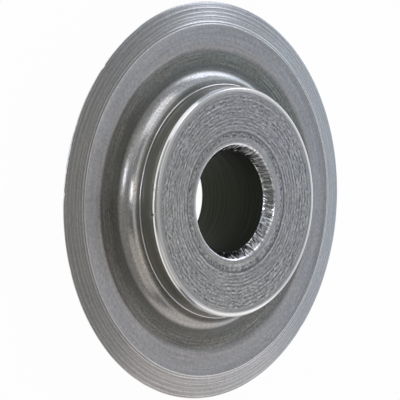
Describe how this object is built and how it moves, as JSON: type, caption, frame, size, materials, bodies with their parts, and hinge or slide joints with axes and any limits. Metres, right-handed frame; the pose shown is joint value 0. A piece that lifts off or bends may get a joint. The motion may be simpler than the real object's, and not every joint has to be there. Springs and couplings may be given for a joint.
{
  "type": "pipe cutter wheel",
  "caption": "Round steel cutting wheel with a V-shaped cutting edge, a thin flange, coved shoulders and a hub with a countersunk bore for a pin.",
  "frame": {"origin": "centre of the wheel, on the bore's axis in the plane of the cutting edge", "axes": "+Z along the bore's axis, out of the end face with the deeper countersink; the wheel lies on its other end face"},
  "size_m": [0.0234, 0.0234, 0.0056],
  "materials": {
    "tool_steel": "turned and ground high-speed steel, satin with fine concentric tool marks"
  },
  "bodies": {
    "root": {"cutter_wheel": "tool_steel"}
  },
  "joints": []
}
